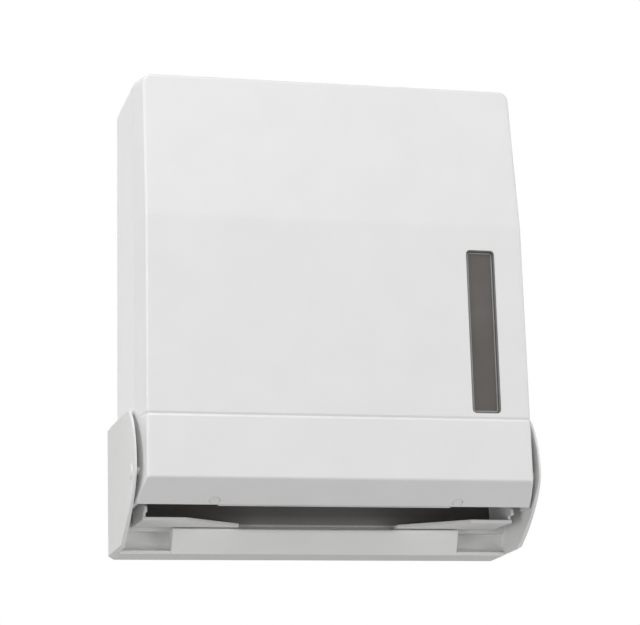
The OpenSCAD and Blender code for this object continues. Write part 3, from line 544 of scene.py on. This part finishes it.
def window_cup():
    """The smoky window: rounded-rectangle rings whose inset and depth follow a profile from the middle of the
    sunk pane over the bead round it, painted pale grey as a highlight, down into the groove, up to the rim,
    out to the flange and back behind it."""
    half_x, half_z, corner = (v - WINDOW_GAP for v in (WINDOW_HALF_X, WINDOW_HALF_Z, WINDOW_R))
    # pairs of inset and depth, in which the small numbers round the edges
    pane = [(half_x, PANE_D), (5.0, PANE_D)]
    bead = [
        (MOAT_IN + 1.0, PANE_D), (MOAT_IN + 0.9, PANE_D - 0.1),
        (MOAT_IN + 0.3, PANE_D - 0.1), (MOAT_IN + 0.08, PANE_D + 0.05),
    ]
    rim = [
        (MOAT_IN, PANE_D + 0.25), (MOAT_IN, MOAT_D - 0.1), (MOAT_IN - 0.08, MOAT_D),
        (MOAT_OUT + 0.12, MOAT_D), (MOAT_OUT + 0.03, MOAT_D - 0.1), (MOAT_OUT, 0.4),
        (MOAT_OUT - 0.1, 0.25), (0.26, 0.2), (0.12, 0.25),
    ]
    flange = [
        (0.0, 0.4), (0.0, FLANGE_D), (0.2 - FLANGE_REACH, FLANGE_D), (-FLANGE_REACH, FLANGE_D + 0.2),
        (-FLANGE_REACH, FLANGE_BACK - 0.2), (0.2 - FLANGE_REACH, FLANGE_BACK),
        (2.6, FLANGE_BACK), (6.0, FLANGE_BACK), (half_x, FLANGE_BACK),
    ]
    profile = np.array(pane + bead + rim + flange)
    inset, depth = profile.T[:, :, None]
    radius = np.minimum(np.maximum(corner - inset, PANE_R), half_x - inset)
    quarters = []
    for quarter, (side_x, side_z) in enumerate(((1, 1), (-1, 1), (-1, -1), (1, -1))):
        turn = np.linspace(0, 0.5 * math.pi, 7) + quarter * 0.5 * math.pi
        quarters.append(np.stack([
            side_x * (half_x - inset - radius) + radius * np.cos(turn),
            depth + 0 * turn,
            side_z * (half_z - inset - radius) + radius * np.sin(turn),
        ], -1))
    points = np.concatenate(quarters, 1)
    sides = points.shape[1]
    faces = grid_faces(len(profile), sides, closed=True)[:, ::-1]
    # the bead takes the pale grey of the painted highlight
    tones = np.repeat((0, 1, 2, 0), [len(stretch) for stretch in (pane, bead, rim, flange)])
    tones = np.repeat(tones[:-1], sides)
    points = points.reshape(-1, 3) + (WINDOW_X, 0, WINDOW_Z)
    obj = make("window_cup", points, faces, [WINDOW, WINDOW_BEAD_HIGHLIGHT, WINDOW_RIM], tones)
    flat_shading(obj)
    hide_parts("level_window")
    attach(obj, "cover")


# CAD nodes

FINISHES = {
    "rear_housing": HOUSING, "towel_tray": TRAY, "left_stack_guide": GUIDES, "right_stack_guide": GUIDES,
    "window_retainer": GUIDES, "latch_keeper": ZINC, "lock_cam": ZINC, "exit_lip": COVER, "lip_rivets": PIN,
    "left_hinge_pin": PIN, "right_hinge_pin": PIN, "lock_body": CHROME, "lock_nut": CHROME, "lock_plug": PLUG,
    "tray_screws": STEEL, "guide_screws": STEEL, "keeper_screws": STEEL, "window_screws": STEEL,
    "cam_screw": STEEL, "lock_washer": STEEL, "front_cover": COVER, "level_window": WINDOW,
}
# widths of the softened edges
SOFT_EDGES = {
    "rear_housing": 0.5, "towel_tray": 0.4, "left_stack_guide": 0.4, "right_stack_guide": 0.4,
    "exit_lip": 0.3, "lip_rivets": 0.25, "left_hinge_pin": 0.3, "right_hinge_pin": 0.3, "latch_keeper": 0.25,
    "lock_cam": 0.25, "lock_body": 0.3, "lock_plug": 0.2, "lock_nut": 0.2, "window_retainer": 0.2,
}
# edges that turn by more than this, in degrees, are softened
SOFT_ANGLE = 35
# vertices of a CAD mesh nearer than this are one
WELD_DIST = 0.005


def dress_nodes():
    """Materials for every CAD node, and softened edges for those that are seen."""
    for name, obj in NODES.items():
        obj.data.materials.clear()
        obj.data.materials.append(FINISHES[name])
        if name in SOFT_EDGES:
            weld = obj.modifiers.new("weld", "WELD")
            weld.merge_threshold = WELD_DIST * MM
            soft = obj.modifiers.new("soft_edges", "BEVEL")
            soft.limit_method = "ANGLE"
            soft.angle_limit = math.radians(SOFT_ANGLE)
            soft.width = SOFT_EDGES[name] * MM
            soft.segments = SOFT_SEGMENTS
            soft.use_clamp_overlap = True
            flat_shading(obj)


# stage

# strength of the room's even light
AMBIENT = 0.25
# place, width in metres and power in watts of each lamp
LAMPS = {
    "top": ((-0.4, -1.3, 1.7), 1.2, 23),
    "left": ((-2.6, -0.9, 0.9), 1.4, 20),
    "right": ((2.6, -0.9, 0.9), 1.4, 7),
    "low_left": ((-2.1, -1.6, -0.75), 1.4, 20),
    "low_right": ((2.1, -1.6, -0.75), 1.4, 23.5),
    "rear": ((1.0, 2.8, 0.4), 1.4, 20),
}
# camera: place and sight in metres, turns in radians, lens and sensor in millimetres
CAMERA_AT, CAMERA_SIGHT = (-0.3968, -1.6787, -0.4033), 50.0
CAMERA_YAW, CAMERA_PITCH, CAMERA_ROLL = 0.2413, 0.2359, -0.028
LENS, SENSOR = 129.4, 36.0
# floor: radius, height, rise at its edge, and its mesh's rings, sides and root of its first ring
FLOOR_R, FLOOR_Z, FLOOR_DISH = 20000.0, -1870.0, 8.0
FLOOR_RINGS, FLOOR_SIDES, FLOOR_START = 24, 72, 0.02
# distances in metres over which the floor fades to white, and how much paler it looks than it is
FLOOR_FADE_START, FLOOR_FADE_END, FLOOR_GLOW = 2.5, 9.0, 0.5


def stand(obj, at, right, up, away):
    """Puts a lamp or camera at a place, with its own axes along right, up and away from what it looks at."""
    turn = np.stack([right, up, away], 1).tolist()
    obj.matrix_world = Matrix([(*row, t) for row, t in zip(turn, at)] + [(0, 0, 0, 1)])
    bpy.context.scene.collection.objects.link(obj)


def lamp(name, at, size, power):
    """A round area lamp that faces the middle of the part and is not seen itself."""
    data = bpy.data.lights.new(name, "AREA")
    data.shape = "DISK"
    data.size = size
    data.energy = power
    obj = bpy.data.objects.new(name, data)
    obj.visible_camera = False
    away = np.array(at) / np.linalg.norm(at)
    right = np.cross((0, 0, 1), away)
    right /= np.linalg.norm(right)
    stand(obj, at, right, np.cross(away, right), away)


def looked_at(tree):
    """1 for the rays that show a surface to the camera, a mirror or a pane, and 0 for those that light."""
    path = tree.nodes.new("ShaderNodeLightPath")
    seen = path.outputs["Is Camera Ray"]
    for ray in ("Is Glossy Ray", "Is Transmission Ray"):
        seen = calc(tree, "MAXIMUM", seen, path.outputs[ray])
    return seen


def mixed(tree, factor, first, second):
    """A shader that goes from the first to the second as the factor goes from 0 to 1."""
    mix = tree.nodes.new("ShaderNodeMixShader")
    for socket, source in zip(mix.inputs, (factor, first, second)):
        tree.links.new(source, socket)
    return mix.outputs[0]


def glow(tree, kind, strength):
    """A white background or emission shader of this strength."""
    node = tree.nodes.new(kind)
    node.inputs["Color"].default_value = (1, 1, 1, 1)
    node.inputs["Strength"].default_value = strength
    return node.outputs[0]


def sky():
    """A soft even room: white where the camera or a reflection looks, and plain ambient light otherwise."""
    world = bpy.data.worlds.new("studio")
    bpy.context.scene.world = world
    world.use_nodes = True
    tree = world.node_tree
    tree.nodes.clear()
    ambient, white = (glow(tree, "ShaderNodeBackground", strength) for strength in (AMBIENT, 1.0))
    out = tree.nodes.new("ShaderNodeOutputWorld")
    tree.links.new(mixed(tree, looked_at(tree), ambient, white), out.inputs["Surface"])


def floor():
    """A round floor far below the wall dispenser: rings whose radius grows by squares, gently dished. To the
    camera it is paler than the light it gives back, and it fades to white far out."""
    radius = FLOOR_R * np.linspace(FLOOR_START, 1, FLOOR_RINGS)[:, None] ** 2
    turn = np.linspace(0, 2 * math.pi, FLOOR_SIDES, endpoint=False)
    height = FLOOR_Z + FLOOR_DISH * (radius / FLOOR_R) ** 2 + 0 * turn
    points = np.stack([radius * np.cos(turn), radius * np.sin(turn), height], -1).reshape(-1, 3)
    mat = finish_of("pale_floor", (0.52, 0.52, 0.52), (0.56, 0.56, 0.56), (0.7, 0.8), patch=1.5, grain=60.0)
    tree = mat.node_tree
    plain = tree.nodes["Principled BSDF"].outputs[0]
    away = tree.nodes.new("ShaderNodeVectorMath")
    away.operation = "LENGTH"
    tree.links.new(tree.nodes.new("ShaderNodeTexCoord").outputs["Object"], away.inputs[0])
    far = tree.nodes.new("ShaderNodeMapRange")
    far.interpolation_type = "SMOOTHSTEP"
    far.inputs["From Min"].default_value = FLOOR_FADE_START
    far.inputs["From Max"].default_value = FLOOR_FADE_END
    tree.links.new(away.outputs["Value"], far.inputs["Value"])
    near, white = (glow(tree, "ShaderNodeEmission", strength) for strength in (FLOOR_GLOW, 1.0))
    pale = tree.nodes.new("ShaderNodeAddShader")
    tree.links.new(plain, pale.inputs[0])
    tree.links.new(near, pale.inputs[1])
    seen = mixed(tree, far.outputs["Result"], pale.outputs[0], white)
    shown = mixed(tree, looked_at(tree), plain, seen)
    tree.links.new(shown, tree.nodes["Material Output"].inputs["Surface"])
    make("floor", points, grid_faces(FLOOR_RINGS, FLOOR_SIDES, closed=True), [mat])


def camera():
    """Looks up at the dispenser from the lower left, as the photograph does, with no shift."""
    sine, cosine = math.sin(CAMERA_YAW), math.cos(CAMERA_YAW)
    level = math.cos(CAMERA_PITCH)
    ahead = np.array([sine * level, cosine * level, math.sin(CAMERA_PITCH)])
    right = np.array([cosine, -sine, 0.0])
    up = np.cross(right, ahead)
    tilt = math.cos(CAMERA_ROLL), math.sin(CAMERA_ROLL)
    rolled_right, rolled_up = tilt[0] * right + tilt[1] * up, tilt[0] * up - tilt[1] * right
    data = bpy.data.cameras.new("camera")
    data.sensor_width = SENSOR
    data.lens = LENS
    data.clip_end = CAMERA_SIGHT
    obj = bpy.data.objects.new("camera", data)
    stand(obj, CAMERA_AT, rolled_right, rolled_up, -ahead)
    bpy.context.scene.camera = obj


cover_shell()
cover_bosses()
window_cup()
dress_nodes()
floor()
sky()
for lamp_name, settings in LAMPS.items():
    lamp(lamp_name, *settings)
camera()
bpy.context.scene.view_settings.view_transform = "Standard"

bpy.context.view_layer.update()
